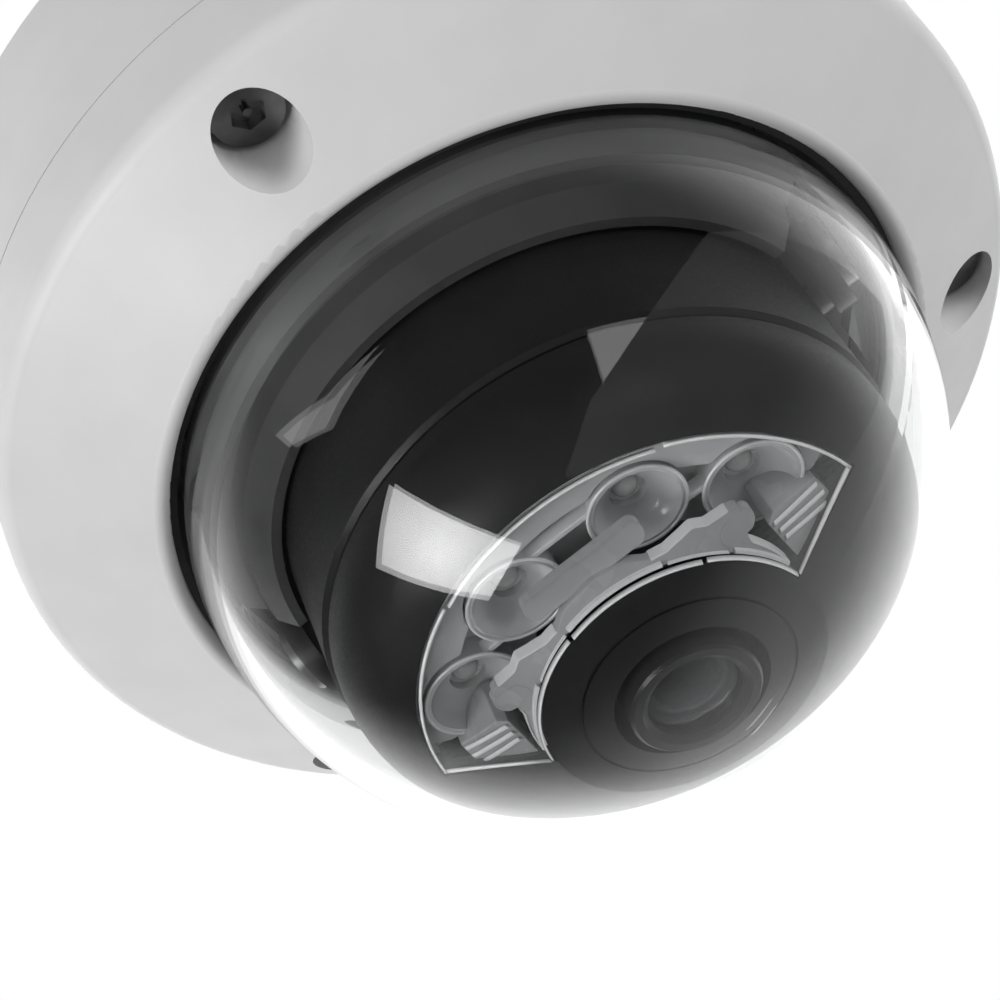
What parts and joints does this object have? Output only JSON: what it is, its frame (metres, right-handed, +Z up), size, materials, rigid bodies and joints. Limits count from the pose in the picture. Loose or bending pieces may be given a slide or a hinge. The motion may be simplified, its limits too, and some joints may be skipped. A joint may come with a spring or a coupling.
{
  "type": "dome security camera",
  "caption": "Ceiling-mounted dome security camera: round base and sloping cover, clear dome, and a lamp-ringed camera head that pans, tilts and rolls inside.",
  "frame": {"origin": "centre of the flat mounting face, which lies against the ceiling", "axes": "+Z up, out of the mounting face; the dome hangs towards -Z; -Y is the side that the lamp window faces at rest, and the head tilts towards +Y"},
  "size_m": [0.111, 0.1128, 0.0822],
  "materials": {
    "white_housing": "die-cast, white powder coat",
    "black_rubber": "matte",
    "white_plastic": "matte",
    "circuit_board": "solder mask",
    "chip_black": "matte",
    "connector_ivory": "matte",
    "sheet_steel": "zinc plated",
    "screw_steel": "stainless",
    "clear_dome": "clear polished polycarbonate",
    "clear_window": "clear polished plastic",
    "slip_plastic": "smooth",
    "black_plastic": "fine matte texture",
    "dark_liner": "satin",
    "lamp_reflector": "bright metallised",
    "lamp_body": "clear resin",
    "lens_black": "black anodised",
    "lens_glass": "coated"
  },
  "bodies": {
    "base": {"base_housing": "white_housing", "base_seal": "black_rubber", "cable_grommet": "black_rubber", "conduit_plug": "white_plastic", "main_board": "circuit_board", "processor_chip": "chip_black", "network_connector": "connector_ivory", "power_connector": "connector_ivory", "camera_connector": "connector_ivory", "memory_card_slot": "sheet_steel", "reset_switch": "sheet_steel", "pan_bracket": "sheet_steel", "bracket_screws": "screw_steel"},
    "cover": {"cover_shell": "white_housing", "dome_gasket": "black_rubber", "dome_bubble": "clear_dome", "dome_clamp_ring": "sheet_steel", "clamp_screws": "screw_steel", "cover_screws": "screw_steel"},
    "pan": {"pan_friction_ring": "slip_plastic", "pan_turntable": "black_plastic", "pan_retainer": "sheet_steel", "pan_spring_washer": "sheet_steel", "yoke_right": "black_plastic", "yoke_left": "black_plastic", "yoke_screws": "screw_steel", "inner_liner": "dark_liner"},
    "tilt": {"tilt_cradle": "black_plastic", "tilt_pins": "screw_steel", "tilt_friction_washers": "slip_plastic"},
    "head": {"head_front_shell": "black_plastic", "head_retainer": "black_plastic", "head_retainer_screws": "screw_steel", "head_rear_cover": "black_plastic", "led_window": "clear_window", "led_reflector_tray": "lamp_reflector", "led_board": "circuit_board", "led_emitters": "lamp_body", "led_board_screws": "screw_steel", "lens_barrel": "lens_black", "lens_front_glass": "lens_glass", "lens_inner_element": "lens_glass", "lens_light_seal": "black_rubber", "lens_holder": "black_plastic", "sensor_board": "circuit_board", "image_sensor": "chip_black", "sensor_board_screws": "screw_steel", "sensor_connector": "connector_ivory"},
    "reset": {"reset_button": "chip_black"}
  },
  "joints": [
    {"name": "cover_release", "type": "slide", "parent": "base", "child": "cover", "axis": [0, 0, -1], "range_m": [0, 0.07]},
    {"name": "pan_turn", "type": "hinge", "parent": "base", "child": "pan", "pos_m": [0, 0, 0], "axis": [0, 0, 1], "range_deg": [-177.5, 177.5]},
    {"name": "tilt_turn", "type": "hinge", "parent": "pan", "child": "tilt", "pos_m": [0, 0, -0.043], "axis": [1, 0, 0], "range_deg": [0, 75]},
    {"name": "roll_turn", "type": "hinge", "parent": "tilt", "child": "head", "pos_m": [0, 0, -0.043], "axis": [0, 0, -1], "range_deg": [-177.5, 177.5]},
    {"name": "reset_press", "type": "slide", "parent": "base", "child": "reset", "axis": [0, 0, 1], "range_m": [0, 0.0003], "stiffness_N_per_m": 1500, "springref_m": -0.0002}
  ]
}
